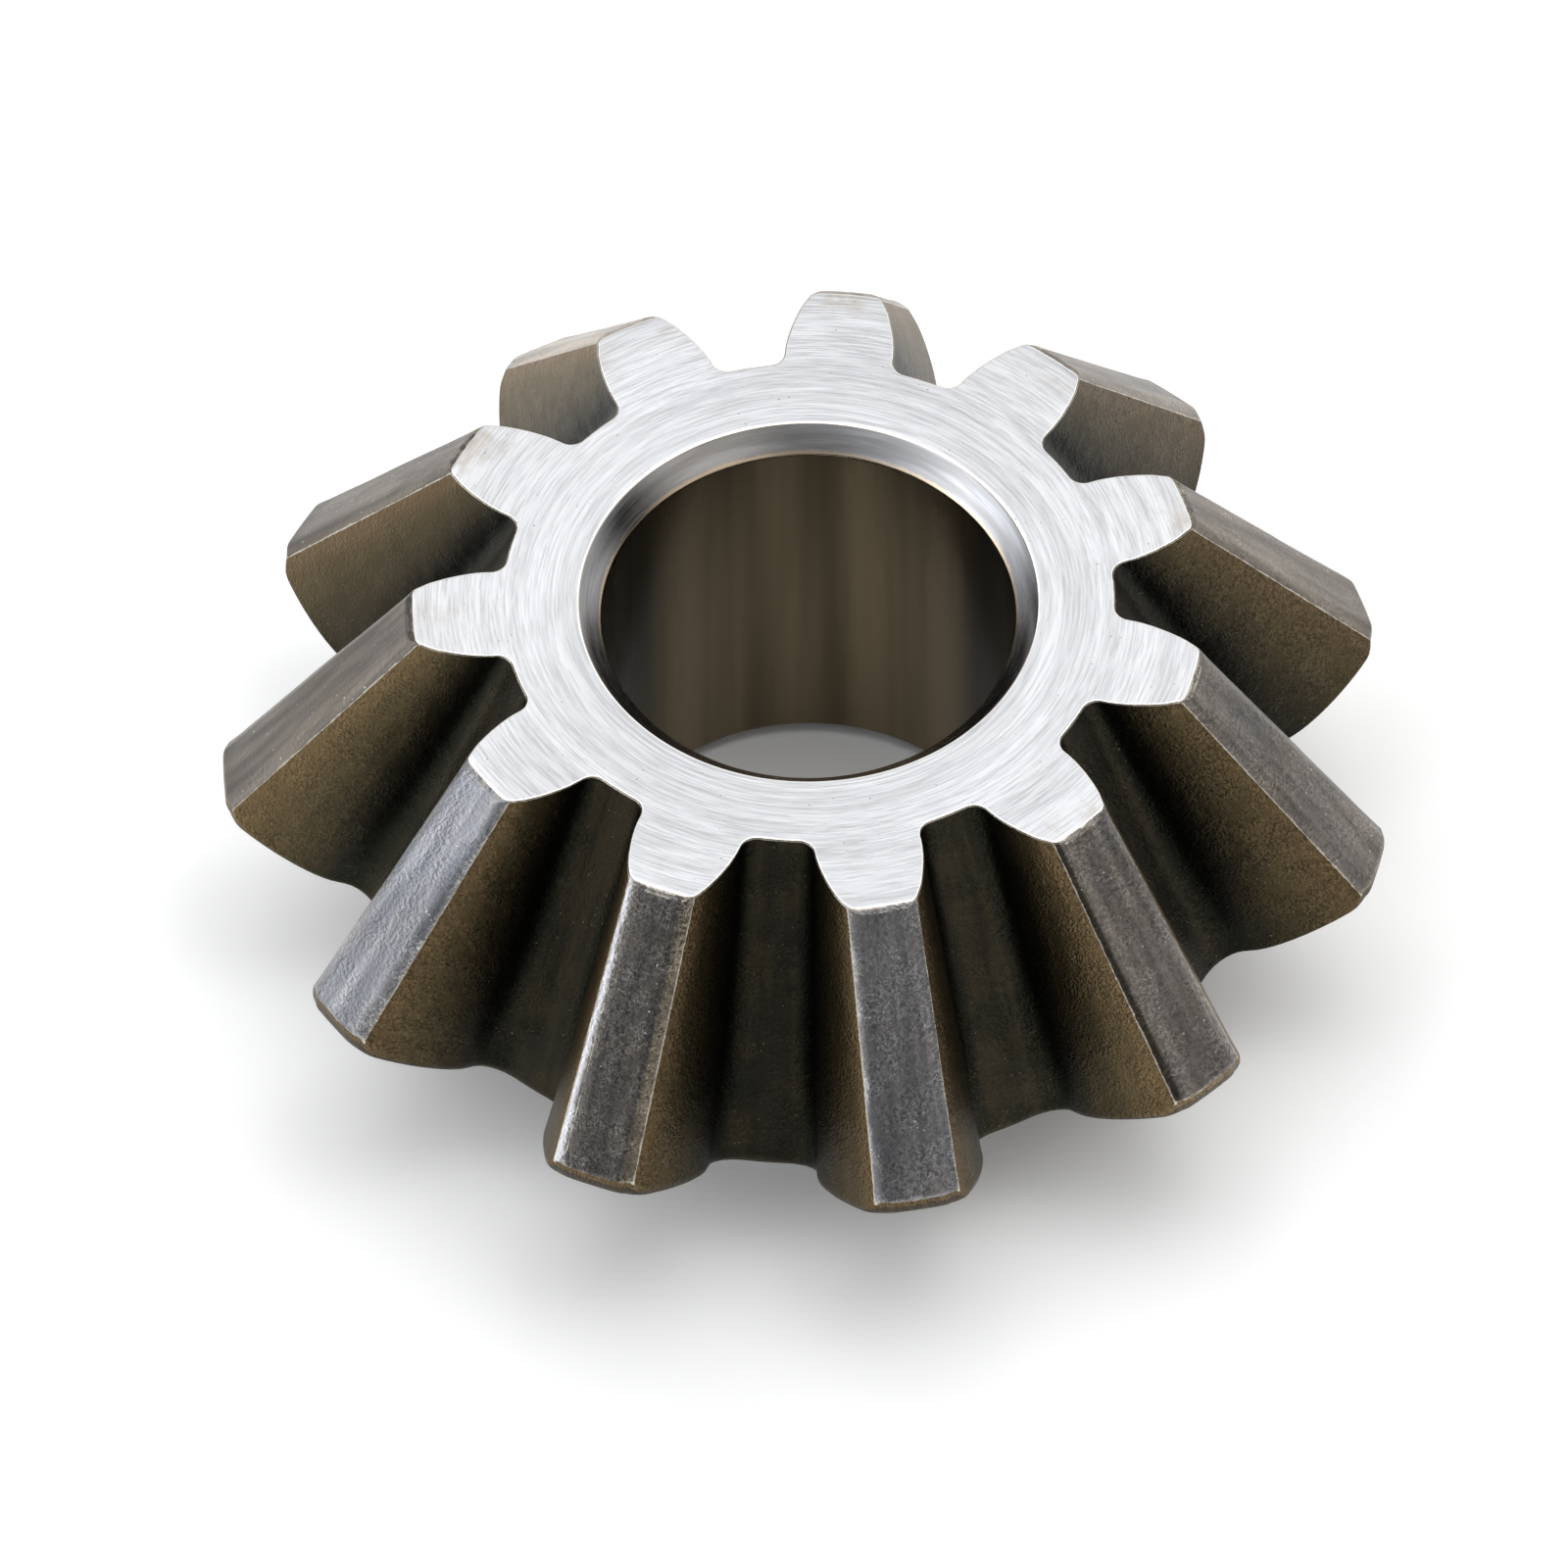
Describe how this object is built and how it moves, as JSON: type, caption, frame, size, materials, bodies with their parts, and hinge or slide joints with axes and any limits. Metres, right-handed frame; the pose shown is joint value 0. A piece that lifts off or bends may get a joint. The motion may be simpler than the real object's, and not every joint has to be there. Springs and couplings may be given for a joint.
{
  "type": "planet gear",
  "caption": "One-piece straight bevel planet gear with tapered involute teeth, a flat machined front face, a chamfered plain bore and a spherical thrust back.",
  "frame": {"origin": "on the bore's axis, midway along the bore's cylindrical wall", "axes": "+Z along the bore's axis, from the thrust back to the small end of the teeth; -Y runs through the middle of one tooth"},
  "size_m": [0.0848, 0.0842, 0.0339],
  "materials": {
    "forged_steel": "satin forged teeth, bright turned front face"
  },
  "bodies": {
    "root": {"planet_gear": "forged_steel"}
  },
  "joints": []
}
